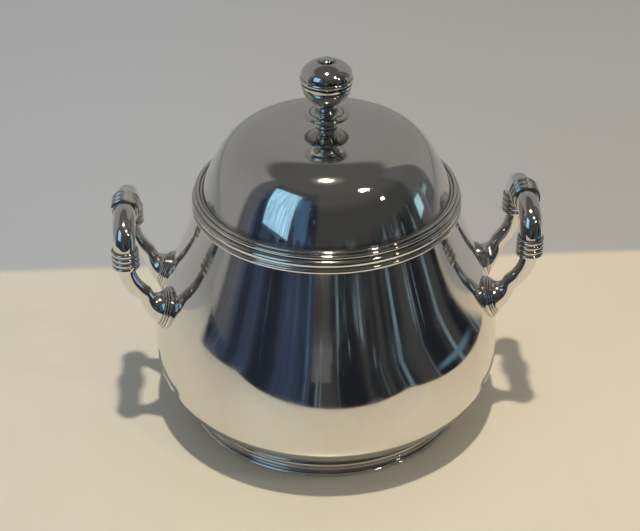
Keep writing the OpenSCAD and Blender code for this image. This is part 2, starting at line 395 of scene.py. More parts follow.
@dataclass(frozen=True)
class SteelFinish:
    """Plain turned steel of the hidden fixings."""

    name: str
    tint: tuple[float, float, float] = (0.50, 0.50, 0.51)
    oil: tuple[float, float, float] = (0.30, 0.28, 0.26)

    def material(self) -> bpy.types.Material:
        """Build the material.

        Returns:
            The finished material.
        """
        made = bpy.data.materials.new(self.name)
        made.use_nodes = True
        graph = Graph(made.node_tree)
        place = graph.node("ShaderNodeTexCoord").outputs["Object"]
        turned = graph.noise(place, 900.0, 2.0, 0.5, (0.2, 0.2, 5.0))
        stain = graph.noise(place, 400.0, 3.0, 0.6).rise(0.45, 0.8)
        colour = graph.mix(stain * 0.6, self.tint, self.oil)
        bump = graph.node(
            "ShaderNodeBump",
            inputs={"Strength": 0.3, "Distance": 0.00003, "Height": turned},
        )
        shader = graph.node(
            "ShaderNodeBsdfPrincipled",
            inputs={
                "Base Color": colour,
                "Metallic": 1.0,
                "Roughness": 0.28 + stain * 0.15,
                "Normal": bump.outputs[0],
            },
        )
        graph.node("ShaderNodeOutputMaterial", inputs={"Surface": shader.outputs[0]})
        return made


# ---------------------------------------------------------------- modelling


class Section:
    """A lathe section in radius and height, in millimetres, drawn point by point."""

    def __init__(self, radius: float, height: float) -> None:
        """Start the section at a point."""
        self.points: list[tuple[float, float]] = [(radius, height)]

    def line(self, radius: float, height: float) -> Section:
        """Draw a straight line to a point."""
        self.points.append((radius, height))
        return self

    def curve(
        self,
        first: tuple[float, float],
        second: tuple[float, float],
        end: tuple[float, float],
        steps: int = 16,
    ) -> Section:
        """Draw a cubic curve from the last point.

        Args:
            first: Control point near the start.
            second: Control point near the end.
            end: Where the curve ends.
            steps: Number of short lines.

        Returns:
            The section.
        """
        start = self.points[-1]
        for step in range(1, steps + 1):
            t = step / steps
            weights = ((1 - t) ** 3, 3 * t * (1 - t) ** 2, 3 * t * t * (1 - t), t**3)
            knots = (start, first, second, end)
            self.points.append(
                (
                    sum(w * k[0] for w, k in zip(weights, knots)),
                    sum(w * k[1] for w, k in zip(weights, knots)),
                )
            )
        return self

    def arc(
        self,
        centre: tuple[float, float],
        radius: float,
        start: float,
        end: float,
        steps: int = 10,
    ) -> Section:
        """Draw an arc; a line joins its start to the last point.

        Args:
            centre: Centre of the arc.
            radius: Radius of the arc.
            start: Start angle in degrees, 0 being outwards and 90 up.
            end: End angle in degrees.
            steps: Number of short lines.

        Returns:
            The section.
        """
        for step in range(steps + 1):
            angle = math.radians(start + (end - start) * step / steps)
            point = (centre[0] + radius * math.cos(angle), centre[1] + radius * math.sin(angle))
            if math.dist(point, self.points[-1]) > 1e-4:
                self.points.append(point)
        return self


@dataclass(frozen=True)
class Ring:
    """One round cross-section of a rod."""

    centre: Vector
    facing: Vector
    radius: float


class Shop:
    """Makes meshes with the usual editing tools."""

    @staticmethod
    def clear() -> None:
        """Leave object mode with nothing selected."""
        if bpy.context.mode != "OBJECT":
            bpy.ops.object.mode_set(mode="OBJECT")
        bpy.ops.object.select_all(action="DESELECT")

    @staticmethod
    def edit(obj: bpy.types.Object) -> None:
        """Enter edit mode on one object, with all of it selected."""
        Shop.clear()
        obj.select_set(True)
        bpy.context.view_layer.objects.active = obj
        bpy.ops.object.mode_set(mode="EDIT")
        bpy.ops.mesh.select_mode(type="VERT")
        bpy.ops.mesh.select_all(action="SELECT")

    @staticmethod
    def settle(obj: bpy.types.Object, crease: float = 32.0) -> bpy.types.Object:
        """Put the object's place into its mesh and smooth its shading.

        Args:
            obj: The piece.
            crease: Angle in degrees above which an edge stays sharp.

        Returns:
            The piece.
        """
        Shop.clear()
        obj.select_set(True)
        bpy.context.view_layer.objects.active = obj
        bpy.ops.object.transform_apply(location=True, rotation=True, scale=True)
        bpy.ops.object.shade_smooth_by_angle(angle=math.radians(crease))
        Shop.clear()
        return obj

    @staticmethod
    def turned(name: str, section: Section, closed: bool, steps: int = ROUND_STEPS) -> bpy.types.Object:
        """Spin a section round Z.

        Args:
            name: The piece's name.
            section: Its section in millimetres.
            closed: Whether the section's last point joins its first.
            steps: Facets round the piece.

        Returns:
            The piece, with outward normals.
        """
        points = [Vector((r * MM, 0.0, z * MM)) for r, z in section.points]
        Shop.clear()
        bpy.ops.mesh.primitive_plane_add(size=MM, location=points[0])
        obj = bpy.context.active_object
        obj.name = name
        obj.data.name = name
        Shop.edit(obj)
        bpy.ops.mesh.merge(type="CENTER")
        for last, point in zip(points, points[1:]):
            bpy.ops.mesh.extrude_region_move(TRANSFORM_OT_translate={"value": point - last})
        if closed:
            bpy.ops.mesh.extrude_region_move(TRANSFORM_OT_translate={"value": points[0] - points[-1]})
        bpy.ops.mesh.select_all(action="SELECT")
        bpy.ops.mesh.remove_doubles(threshold=1e-6)
        bpy.ops.mesh.select_all(action="SELECT")
        bpy.ops.mesh.spin(steps=steps, angle=2 * math.pi, center=(0, 0, 0), axis=(0, 0, 1))
        bpy.ops.mesh.select_all(action="SELECT")
        bpy.ops.mesh.remove_doubles(threshold=2e-6)
        bpy.ops.mesh.select_all(action="SELECT")
        bpy.ops.mesh.normals_make_consistent(inside=False)
        return Shop.settle(obj)

    @staticmethod
    def walled(obj: bpy.types.Object, thickness: float) -> bpy.types.Object:
        """Give an open spun sheet its thickness, inwards.

        Args:
            obj: The sheet, with outward normals.
            thickness: Thickness in millimetres.

        Returns:
            The piece.
        """
        wall = obj.modifiers.new("wall", "SOLIDIFY")
        wall.thickness = thickness * MM
        wall.offset = -1.0
        wall.use_even_offset = True
        return Shop.applied(obj, wall)

    @staticmethod
    def applied(obj: bpy.types.Object, modifier: bpy.types.Modifier) -> bpy.types.Object:
        """Apply one modifier."""
        Shop.clear()
        obj.select_set(True)
        bpy.context.view_layer.objects.active = obj
        bpy.ops.object.modifier_apply(modifier=modifier.name)
        return Shop.settle(obj)

    @staticmethod
    def lofted(name: str, rings: Sequence[Ring]) -> bpy.types.Object:
        """Draw a round rod through a row of rings.

        Args:
            name: The piece's name.
            rings: Its cross-sections, in metres, from end to end.

        Returns:
            The closed rod.
        """
        first = rings[0]
        Shop.clear()
        bpy.ops.mesh.primitive_circle_add(
            vertices=ROD_STEPS,
            radius=first.radius,
            location=first.centre,
            rotation=first.facing.to_track_quat("Z", "Y").to_euler(),
        )
        obj = bpy.context.active_object
        obj.name = name
        obj.data.name = name
        Shop.settle(obj)
        Shop.edit(obj)
        for last, ring in zip(rings, rings[1:]):
            bpy.ops.mesh.extrude_region_move(
                TRANSFORM_OT_translate={"value": ring.centre - last.centre}
            )
            share = ring.radius / last.radius
            if abs(share - 1) > 1e-6:
                bpy.ops.transform.resize(value=(share, share, share), center_override=ring.centre)
            axis = last.facing.cross(ring.facing)
            if axis.length > 1e-7:
                Shop.swing(axis.normalized(), last.facing.angle(ring.facing), ring.centre)
        bpy.ops.mesh.select_all(action="SELECT")
        bpy.ops.mesh.fill_holes(sides=0)
        bpy.ops.mesh.select_all(action="SELECT")
        bpy.ops.mesh.normals_make_consistent(inside=False)
        return Shop.settle(obj)

    @staticmethod
    def swing(axis: Vector, angle: float, centre: Vector) -> None:
        """Turn what is selected about a line along X, Y or Z, by the right-hand rule.

        Args:
            axis: Direction of the line, either way along one of the axes.
            angle: Angle in radians.
            centre: A point on the line.
        """
        letter, part = max(zip("XYZ", axis), key=lambda pair: abs(pair[1]))
        value = -math.copysign(angle, part)
        bpy.ops.transform.rotate(value=value, orient_axis=letter, center_override=centre)

    @staticmethod
    def copied(source: bpy.types.Object, name: str, place: Matrix) -> bpy.types.Object:
        """Copy a piece with its own mesh, and carry the mesh to a new place.

        Args:
            source: The piece to copy.
            name: The copy's name.
            place: Matrix that carries the mesh.

        Returns:
            The copy.
        """
        Shop.clear()
        source.select_set(True)
        bpy.context.view_layer.objects.active = source
        bpy.ops.object.duplicate(linked=False)
        made = bpy.context.active_object
        made.name = name
        made.data.name = name
        made.matrix_world = place
        return Shop.settle(made)

    @staticmethod
    def cut(obj: bpy.types.Object, tool: bpy.types.Object) -> bpy.types.Object:
        """Cut one solid out of another and discard the cutter.

        Args:
            obj: The piece.
            tool: The cutter.

        Returns:
            The piece.
        """
        knife = obj.modifiers.new("cut", "BOOLEAN")
        knife.operation = "DIFFERENCE"
        knife.solver = "EXACT"
        knife.object = tool
        Shop.applied(obj, knife)
        bpy.data.objects.remove(tool)
        return obj

    @staticmethod
    def mark(obj: bpy.types.Object, depth: Callable[[Vector], float]) -> bpy.types.Object:
        """Note on each point how deep it lies in a groove, for the tarnish and painted shade there.

        Args:
            obj: The piece.
            depth: Gives 0 to 1 for a point in millimetres.

        Returns:
            The piece.
        """
        note = obj.data.attributes.new("recess", "FLOAT", "POINT")
        for vertex, value in zip(obj.data.vertices, note.data):
            value.value = min(1.0, max(0.0, depth(vertex.co / MM)))
        return obj


def grooves(*places: tuple[float, float, float]) -> Callable[[Vector], float]:
    """Describe round grooves about Z.

    Args:
        *places: (radius, height, half width) of each groove in millimetres.

    Returns:
        A function that gives how deep a point lies in the nearest groove.
    """

    def depth(point: Vector) -> float:
        """Depth at one point."""
        radius = math.hypot(point.x, point.y)
        return max(
            math.exp(-(((radius - r) / w) ** 2) - ((point.z - z) / w) ** 2) for r, z, w in places
        )

    return depth


def no_grooves(point: Vector) -> float:
    """A piece without grooves."""
    return 0.0


@dataclass
class Finishes:
    """The materials, each built once."""

    shell: SilverFinish = SilverFinish(
        "silver_body", roughness=0.045, haze=0.014, scratch=0.10, ripple=0.03
    )
    dome: SilverFinish = SilverFinish(
        "silver_dome", roughness=0.04, haze=0.014, scratch=0.08, ripple=0.02
    )
    moulding: SilverFinish = SilverFinish(
        "silver_mouldings", roughness=0.03, haze=0.012, scratch=0.06, ripple=0.02
    )
    handle: SilverFinish = SilverFinish(
        "silver_handles", roughness=0.04, haze=0.014, scratch=0.08, ripple=0.03
    )
    finial: SilverFinish = SilverFinish(
        "silver_finial", roughness=0.03, haze=0.012, scratch=0.06, ripple=0.01
    )
    steel: SteelFinish = SteelFinish("steel_fixings")
    built: dict[str, bpy.types.Material] = field(default_factory=dict)

    def material(self, finish: SilverFinish | SteelFinish) -> bpy.types.Material:
        """Give the material of a finish, building it the first time."""
        if finish.name not in self.built:
            self.built[finish.name] = finish.material()
        return self.built[finish.name]

    def dress(
        self,
        obj: bpy.types.Object,
        finish: SilverFinish | SteelFinish,
        body: Body,
        depth: Callable[[Vector], float] = no_grooves,
    ) -> bpy.types.Object:
        """Finish a piece: its material, the body it rides on and the frame node it stands for.

        Args:
            obj: The piece, named after its node with "silver_" or "steel_" in front.
            finish: Its finish.
            body: The body it moves with.
            depth: How deep each point lies in a groove.

        Returns:
            The piece.
        """
        if "recess" not in obj.data.attributes:
            Shop.mark(obj, depth)
        obj.data.materials.clear()
        obj.data.materials.append(self.material(finish))
        for polygon in obj.data.polygons:
            polygon.material_index = 0
        node = obj.name.split("_", 1)[1]
        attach(obj, body.value)
        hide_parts(node)
        LOG.info("%s: %d faces, rides on %s", obj.name, len(obj.data.polygons), body.value)
        return obj


def top_of(node: str) -> float:
    """Highest point of a frame node in millimetres."""
    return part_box(node)[1].z / MM


def foot_of(node: str) -> float:
    """Lowest point of a frame node in millimetres."""
    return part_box(node)[0].z / MM


def reach_of(node: str) -> float:
    """Outer radius of a frame node that is centred on the axis, in millimetres."""
    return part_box(node)[1].x / MM


# ---------------------------------------------------------------- bowl


@dataclass
class Bowl:
    """The spun body with its rim band and foot. Sizes are millimetres."""

    finishes: Finishes
    belly_height: float = 26.0
    waist_radius: float = 46.8
    waist_height: float = 5.2
    floor_height: float = 4.6
    wall: float = 0.9
    neck_slope: float = 0.385
    neck_pull: float = 22.0
    band_out: float = 1.9
    lip: float = 0.85
    bead: float = 1.35

    @property
    def belly(self) -> float:
        """Radius of the belly."""
        return reach_of("bowl_shell")

    @property
    def neck_height(self) -> float:
        """Height of the neck, under the rim band."""
        return foot_of("bowl_rim_band")

    @property
    def mouth_height(self) -> float:
        """Height of the mouth."""
        return top_of("bowl_shell")

    @property
    def neck(self) -> float:
        """Outside radius of the neck."""
        return reach_of("bowl_rim_band") - self.band_out

    def flank(self) -> tuple[tuple[float, float], ...]:
        """The four control points of the flank, from belly to neck."""
        span = self.neck_height - self.belly_height
        return (
            (self.belly, self.belly_height),
            (self.belly, self.belly_height + 0.33 * span),
            (self.neck + self.neck_slope * self.neck_pull, self.neck_height - self.neck_pull),
            (self.neck, self.neck_height),
        )

    def build(self) -> None:
        """Build the shell, rim band, foot ring and foot wire."""
        self._shell()
        self._rim_band()
        self._foot_ring()
        self._foot_wire()

    def _shell(self) -> None:
        """Spin the body and give it its wall."""
        flank = self.flank()
        rise = self.belly_height - self.waist_height
        out = self.belly - self.waist_radius
        section = Section(0.0, self.floor_height)
        section.curve(
            (0.55 * self.waist_radius, self.floor_height),
            (self.waist_radius - 8, self.waist_height - 2.7),
            (self.waist_radius, self.waist_height),
            20,
        )
        section.curve(
            (self.waist_radius + 0.54 * out, self.waist_height + 0.19 * rise),
            (self.belly, self.belly_height - 0.53 * rise),
            flank[0],
            30,
        )
        section.curve(flank[1], flank[2], flank[3], 60)
        section.line(self.neck, self.mouth_height)
        shell = Shop.walled(Shop.turned("silver_bowl_shell", section, closed=False), self.wall)
        # Tarnish and painted shade darken the neck under the rim band and the waist above the foot.
        mouth = (self.neck + 0.2, self.neck_height - 0.1, 0.45)
        foot = (self.waist_radius + 1.0, self.waist_height + 0.4, 0.8)
        self.finishes.dress(shell, self.finishes.shell, Body.BOWL, grooves(mouth, foot))

    def _rim_band(self) -> None:
        """A fat bead above a thin lip, with a valley between them."""
        low = self.neck_height
        high = self.mouth_height
        out = self.neck + self.band_out
        bead_at = (out - self.bead, high - self.bead - 0.05)
        section = Section(self.neck + 0.02, low)
        section.line(out - self.lip - 0.25, low)
        section.arc((out - self.lip, low + self.lip), self.lip, -90, 78, 12)
        section.arc(bead_at, self.bead, -75, 88, 16)
        section.line(self.neck + 0.02, high)
        band = Shop.turned("silver_bowl_rim_band", section, closed=True)
        # Tarnish and painted shade darken the valley, the seat at the mouth and the underside.
        valley = (out - 0.75, low + 1.9, 0.42)
        seat = (out - 0.9, high + 0.1, 0.4)
        under = (self.neck + 0.3, low, 0.4)
        self.finishes.dress(band, self.finishes.moulding, Body.BOWL, grooves(valley, seat, under))

    def _foot_ring(self) -> None:
        """A cove, a thin ridge and a groove darkened with tarnish and painted shade."""
        rest = reach_of("foot_wire")
        base = top_of("foot_wire")
        section = Section(rest - 3.4, base)
        section.line(rest - 1.2, base)
        section.curve((rest - 1.75, base + 0.25), (rest - 1.8, base + 1.2), (rest - 1.0, base + 1.75), 10)
        section.arc((rest - 0.68, base + 2.3), 0.42, -110, 120, 12)
        section.curve(
            (rest - 1.7, base + 2.85),
            (self.waist_radius + 1.5, self.waist_height - 0.6),
            (self.waist_radius + 1.15, self.waist_height + 0.35),
            10,
        )
        section.line(self.waist_radius - 0.2, self.waist_height + 0.1)
        section.line(self.waist_radius - 1.4, self.waist_height - 1.5)
        foot = Shop.turned("silver_foot_ring", section, closed=True)
        groove = (rest - 1.5, base + 0.9, 0.95)
        cove = (self.waist_radius + 1.4, self.waist_height - 0.2, 0.9)
        self.finishes.dress(foot, self.finishes.moulding, Body.BOWL, grooves(groove, cove))

    def _foot_wire(self) -> None:
        """The rounded wire that the bowl stands on."""
        rest = reach_of("foot_wire")
        base = top_of("foot_wire")
        half = base / 2
        section = Section(rest - 3.4, 0.0)
        section.arc((rest - half, half), half, -90, 90, 12)
        section.line(rest - 3.4, base)
        wire = Shop.turned("silver_foot_wire", section, closed=True)
        self.finishes.dress(wire, self.finishes.moulding, Body.BOWL, grooves((rest - 1.3, base, 0.3)))


# ---------------------------------------------------------------- handles


@dataclass
class Handles:
    """Both handles: roots, arms, collars and grips. Sizes are millimetres."""

    finishes: Finishes
    bowl: Bowl
    spread: float = 12.1
    root_share: float = 0.41
    arm_out: float = 12.6
    collar_rise: float = 18.9
    collar_length: float = 7.2
    crown_rise: float = 7.8
    crown_length: float = 7.4
    grip: float = 3.8
    arm: float = 2.9
    bend: float = 15.0
    grip_turn: float = 60.0
    root: float = 7.5
    flare: float = 10.0

    def __post_init__(self) -> None:
        """Work out where the root sits on the flank and how the arm leaves it."""
        self.root_at, self.lean = self._root_place()
        self.collar_reach = self.root_at[0] + self.arm_out
        self.collar_height = self.root_at[1] + self.collar_rise
        run = self.arm_out - self.bend
        self.straight = math.sqrt(run**2 + self.collar_rise**2 - self.bend**2)
        self.slope = math.degrees(
            math.atan2(-self.collar_rise, -run) - math.atan2(-self.bend, -self.straight)
        )

    def _root_place(self) -> tuple[tuple[float, float], float]:
        """Find the root's point on the flank.

        Returns:
            The point, and the angle by which the flank leans back there, in degrees.
        """
        knots = self.bowl.flank()

        def at(t: float) -> tuple[float, float]:
            """One point of the flank."""
            weights = ((1 - t) ** 3, 3 * t * (1 - t) ** 2, 3 * t * t * (1 - t), t**3)
            return (
                sum(w * k[0] for w, k in zip(weights, knots)),
                sum(w * k[1] for w, k in zip(weights, knots)),
            )

        low = at(self.root_share - 0.01)
        high = at(self.root_share + 0.01)
        return at(self.root_share), math.degrees(math.atan2(low[0] - high[0], high[1] - low[1]))

    def build(self) -> None:
        """Model each kind of piece once and copy it to its places."""
        masters = {
            "root": self._root(),
            "arm": self._arm(),
            "collar": self._collar(),
            "grip": self._grip(),
        }
        for side in Side:
            turn = Matrix.Rotation(math.pi if side is Side.LEFT else 0.0, 4, "Z")
            for end in End:
                way = end.value * side.value
                swing = Matrix.Rotation(math.radians(way * self.spread), 4, "Z")
                flip = Matrix.Scale(way, 4, Vector((0, 1, 0)))
                for kind, master in masters.items():
                    place = turn @ flip if kind == "grip" else turn @ swing
                    name = f"silver_{side.name.lower()}_{end.name.lower()}_{kind}"
                    piece = Shop.copied(master, name, place)
                    if kind == "grip" and way < 0:
                        self._face_out(piece)
                    self.finishes.dress(piece, self.finishes.handle, Body.BOWL)
            self._top_collar(side, turn)
        for master in masters.values():
            bpy.data.objects.remove(master)

    @staticmethod
    def _face_out(piece: bpy.types.Object) -> None:
        """Turn the faces of a mirrored piece outwards again."""
        Shop.edit(piece)
        bpy.ops.mesh.normals_make_consistent(inside=False)
        Shop.settle(piece)

    def _root(self) -> bpy.types.Object:
        """A stepped round plate with two ring grooves, and a concave flare that turns into the arm.

        Returns:
            The root of an arm that runs straight outwards along X.
        """
        lean = math.radians(self.lean)
        slope = math.radians(self.slope)
        square = Vector((math.cos(lean), 0.0, math.sin(lean)))
        along = Vector((math.cos(slope), 0.0, math.sin(slope)))
        start = Vector((self.root_at[0], 0.0, self.root_at[1]))
        steps = [
            (-0.62, self.root - 0.5),
            (-0.6, self.root - 0.05),
            (0.25, self.root),
            (0.52, self.root - 0.06),
            (0.68, self.root - 0.24),
            (0.74, self.root - 0.46),
            (0.83, self.root - 0.68),
            (1.00, self.root - 0.58),
            (1.24, self.root - 0.62),
            (1.40, self.root - 0.80),
            (1.46, self.root - 1.04),
            (1.55, self.root - 1.26),
            (1.72, self.root - 1.17),
            (1.96, self.root - 1.21),
            (2.10, self.root - 1.38),
            (2.16, self.root - 1.60),
            (2.26, self.root - 1.80),
        ]
        rings = [Ring((start + square * h) * MM, square, r * MM) for h, r in steps]
        wide = self.root - 1.8
        count = 16
        for step in range(1, count + 1):
            share = step / count
            turn = share * share * (3 - 2 * share)
            facing = square.lerp(along, turn).normalized()
            height = 2.26 + (self.flare + 0.6 - 2.26) * share
            radius = self.arm + (wide - self.arm) * (1 - share) ** 2
            rings.append(Ring((start + facing * height) * MM, facing, radius * MM))
        root = Shop.lofted("root", rings)
        centre = start + square

        def depth(point: Vector) -> float:
            """Depth of a point in the two ring grooves and the seam with the body, where tarnish and painted
            shade darken the silver.
            """
            height = (point - start).dot(square)
            out = ((point - start) - square * height).length
            bands = (
                (0.81, self.root - 0.68, 0.16),
                (1.53, self.root - 1.26, 0.16),
                (2.24, self.root - 1.8, 0.2),
            )
            seam = math.exp(-(((height + 0.35) / 0.35) ** 2)) * (1.0 if out > 6.5 else 0.0)
            rings_deep = max(
                math.exp(-(((height - h) / w) ** 2) - ((out - r) / 0.5) ** 2) for h, r, w in bands
            )
            return max(seam, rings_deep) if (point - centre).length < 12 else 0.0

        return Shop.mark(root, depth)

    def _arm(self) -> bpy.types.Object:
        """A straight rod up from the root, then a bend that ends upright.

        Returns:
            The arm, running outwards along X.
        """
        slope = math.radians(self.slope)
        along = Vector((math.cos(slope), 0.0, math.sin(slope)))
        start = Vector((self.root_at[0], 0.0, self.root_at[1]))
        rings = []
        for step in range(4):
            height = self.flare + (self.straight - self.flare) * step / 3
            rings.append(Ring((start + along * height) * MM, along, self.arm * MM))
        middle = Vector((self.collar_reach - self.bend, 0.0, self.collar_height))
        for step in range(1, 19):
            angle = (slope - math.pi / 2) * (1 - step / 18)
            out = Vector((math.cos(angle), 0.0, math.sin(angle)))
            facing = Vector((-out.z, 0.0, out.x))
            rings.append(Ring((middle + out * self.bend) * MM, facing, self.arm * MM))
        return Shop.mark(Shop.lofted("arm", rings), self._near(self.collar_height, 0.35))

    @staticmethod
    def _near(height: float, width: float) -> Callable[[Vector], float]:
        """Darken a seam at one height with tarnish and painted shade.

        Args:
            height: Height of the seam in millimetres.
            width: Half width of the dark line.

        Returns:
            A function for Shop.mark.
        """
        return lambda point: 0.8 * math.exp(-(((point.z - height) / width) ** 2))

    def _reeded(self, name: str, length: float, core: float, reed: float, count: int) -> bpy.types.Object:
        """A row of round reeds, standing on the origin.

        Args:
            name: The piece's name.
            length: Length of the collar.
            core: Radius at the reeds' centres.
            reed: Radius of a reed.
            count: Number of reeds.

        Returns:
            The collar, upright on the origin, with its grooves marked for tarnish and painted shade.
        """
        pitch = (length - 2 * reed) / (count - 1)
        section = Section(0.0, 0.0)
        section.line(core - 0.3, 0.0)
        dips = []
        for number in range(count):
            middle = reed + pitch * number
            first = -90 if number == 0 else -72
            last = 90 if number == count - 1 else 72
            section.arc((core, middle), reed, first, last, 12)
            if number:
                dips.append((core + 0.2, middle - pitch / 2, 0.38))
        section.line(core - 0.3, length)
        section.line(0.0, length)
        collar = Shop.turned(name, section, closed=False, steps=SMALL_STEPS)
        ends = [(core, -0.1, 0.4), (core, length + 0.1, 0.4)]
        return Shop.mark(collar, grooves(*dips, *ends))

    def _collar(self) -> bpy.types.Object:
        """The reeded collar on an upright."""
        made = self._reeded("collar", self.collar_length, self.grip + 0.1, 0.82, 4)
        place = Matrix.Translation(Vector((self.collar_reach, 0.0, self.collar_height)) * MM)
        moved = Shop.copied(made, "collar_placed", place)
        bpy.data.objects.remove(made)
        return moved

    def _grip(self) -> bpy.types.Object:
        """Two tangent bends from the upright collar to the level top collar, for the side of +Y.

        Returns:
            The grip of the right handle's rear arm.
        """
        across = self.collar_reach * math.cos(math.radians(self.spread))
        aside = self.collar_reach * math.sin(math.radians(self.spread))
        inward = aside - self.crown_length / 2
        sine = math.sin(math.radians(self.grip_turn))
        cosine = math.cos(math.radians(self.grip_turn))
        tight = (self.crown_rise * cosine - inward * (1 - sine)) / (sine * cosine - (1 - cosine) * (1 - sine))
        wide = (inward - tight * (1 - cosine)) / cosine
        base = self.collar_height + self.collar_length
        rings = []
        bends = (
            (Vector((across, aside - tight, base)), tight, 0.0, self.grip_turn, 16),
            (
                Vector((across, self.crown_length / 2, base + self.crown_rise - wide)),
                wide,
                self.grip_turn,
                90.0,
                14,
            ),
        )
        for middle, radius, first, last, count in bends:
            for step in range(0 if not rings else 1, count + 1):
                angle = math.radians(first + (last - first) * step / count)
                out = Vector((0.0, math.cos(angle), math.sin(angle)))
                facing = Vector((0.0, -out.z, out.y))
                rings.append(Ring((middle + out * radius) * MM, facing, self.grip * MM))
        return Shop.mark(Shop.lofted("grip", rings), self._near(base, 0.35))

    def _top_collar(self, side: Side, turn: Matrix) -> None:
        """The level collar at the crown of one handle.

        Args:
            side: Which handle.
            turn: Matrix that carries the right handle to this side.
        """
        across = self.collar_reach * math.cos(math.radians(self.spread))
        crown = self.collar_height + self.collar_length + self.crown_rise
        made = self._reeded("top", self.crown_length, self.grip + 0.2, 1.1, 3)
        start = Matrix.Translation(Vector((across, self.crown_length / 2, crown)) * MM)
        place = turn @ start @ Matrix.Rotation(math.pi / 2, 4, "X")
        collar = Shop.copied(made, f"silver_{side.name.lower()}_top_collar", place)
        bpy.data.objects.remove(made)
        self.finishes.dress(collar, self.finishes.handle, Body.BOWL)


# ---------------------------------------------------------------- lid


@dataclass
class Lid:
    """The dome with its band, locating ring and fixings. Sizes are millimetres."""

    finishes: Finishes
    dome_full: float = 0.68
    dome_lean: float = 0.775
    wall: float = 0.8
    hole: float = 1.55
    reed: float = 0.75
    thin_reed: float = 0.55
    thread_pitch: float = 0.5
    thread_depth: float = 0.22

    @property
    def crest(self) -> float:
        """Height of the dome's crown."""
        return top_of("lid_dome")

    def build(self) -> None:
        """Build the dome, band, locating ring, washer, nut and stud."""
        self._dome()
        self._band()
        self._bezel()
        self._washer()
        self._nut()
        self._stud()

    def _dome(self) -> None:
        """Spin the dome, with a hole for the stud, and give it its wall."""
        foot = foot_of("lid_dome")
        out = reach_of("lid_dome")
        full = Section(out, foot)
        full.curve(
            (self.dome_lean * out, self.crest),
            (self.dome_full * out, self.crest),
            (0.0, self.crest),
            72,
        )
        kept = [p for p in full.points if p[0] > self.hole + 0.4]
        section = Section(*kept[0])
        for point in kept[1:]:
            section.line(*point)
        section.line(self.hole, self.crest)
        dome = Shop.walled(Shop.turned("silver_lid_dome", section, closed=False), self.wall)
        # Tarnish and painted shade darken a line round the dome's foot.
        self.finishes.dress(dome, self.finishes.dome, Body.LID, grooves((out - 0.1, foot + 0.5, 0.7)))

    def _band(self) -> None:
        """A round reed below a thin one."""
        low = foot_of("lid_band")
        high = top_of("lid_band")
        inner = reach_of("lid_bezel")
        out = reach_of("lid_band")
        reed_at = (out - self.reed, low + self.reed + 0.05)
        thin_at = (out - 1.5, high - self.thin_reed)
        section = Section(inner + 0.02, low)
        section.line(out - self.reed - 0.25, low)
        section.arc(reed_at, self.reed, -95, 113, 14)
        section.arc(thin_at, self.thin_reed, -34, 178, 14)
        section.line(inner + 0.02, high - self.thin_reed - 0.2)
        band = Shop.turned("silver_lid_band", section, closed=True)
        # Tarnish and painted shade darken the valley, the seat and the top.
        valley = (out - 1.02, low + 1.5, 0.36)
        seat = (out - 0.8, low, 0.36)
        top = (out - 2.1, high - 0.6, 0.36)
        self.finishes.dress(band, self.finishes.moulding, Body.LID, grooves(valley, seat, top))

    def _bezel(self) -> None:
        """The locating ring, with a rounded lower edge."""
        low = foot_of("lid_bezel")
        high = top_of("lid_bezel")
        out = reach_of("lid_bezel")
        section = Section(out - 0.9, high)
        section.arc((out - 0.45, low + 0.45), 0.45, -180, 0, 12)
        section.line(out, high)
        ring = Shop.turned("silver_lid_bezel", section, closed=True)
        self.finishes.dress(ring, self.finishes.moulding, Body.LID)

    def _washer(self) -> None:
        """The washer, with eased edges."""
        low = foot_of("lid_washer")
        high = top_of("lid_washer")
        out = reach_of("lid_washer")
        section = Section(self.hole, low)
        section.arc((out - 0.15, low + 0.15), 0.15, -90, 0, 5)
        section.arc((out - 0.15, high - 0.2), 0.15, 0, 90, 5)
        section.line(self.hole + 0.6, high)
        section.line(self.hole, high)
        washer = Shop.turned("steel_lid_washer", section, closed=True, steps=SMALL_STEPS)
        self.finishes.dress(washer, self.finishes.steel, Body.LID)

    def _nut(self) -> None:
        """A hexagon nut with eased corners and a round hole."""
        low = foot_of("lid_nut") * MM
        high = top_of("lid_nut") * MM
        Shop.clear()
        bpy.ops.mesh.primitive_circle_add(
            vertices=6, radius=reach_of("lid_nut") * MM, fill_type="NGON", location=(0, 0, low),
            rotation=(0, 0, math.pi / 2),
        )
        nut = bpy.context.active_object
        nut.name = "steel_lid_nut"
        Shop.edit(nut)
        bpy.ops.mesh.extrude_region_move(TRANSFORM_OT_translate={"value": (0, 0, high - low)})
        bpy.ops.mesh.select_all(action="SELECT")
        bpy.ops.mesh.normals_make_consistent(inside=False)
        bpy.ops.mesh.bevel(offset=0.18 * MM, segments=3, affect="EDGES")
        Shop.settle(nut)
        Shop.clear()
        bpy.ops.mesh.primitive_cylinder_add(
            vertices=48, radius=self.hole * MM, depth=4 * (high - low), location=(0, 0, (low + high) / 2)
        )
        Shop.cut(nut, bpy.context.active_object)
        self.finishes.dress(nut, self.finishes.steel, Body.LID)

    def _stud(self) -> None:
        """The stud, with a row of thread ridges at its lower end."""
        low = foot_of("finial_stud")
        high = top_of("finial_stud")
        out = reach_of("finial_stud")
        core = out - self.thread_depth
        section = Section(0.0, low)
        section.line(core - 0.2, low)
        section.line(core, low + 0.2)
        height = low + 0.3
        while height + self.thread_pitch < low + 7:
            section.line(core, height)
            section.line(out, height + 0.4 * self.thread_pitch)
            section.line(out, height + 0.55 * self.thread_pitch)
            height += self.thread_pitch
            section.line(core, height - 0.05)
        section.line(out, height + 0.3)
        section.line(out, high - 0.3)
        section.line(out - 0.3, high)
        section.line(0.0, high)
        stud = Shop.turned("steel_finial_stud", section, closed=False, steps=ROD_STEPS)
        self.finishes.dress(stud, self.finishes.steel, Body.LID)


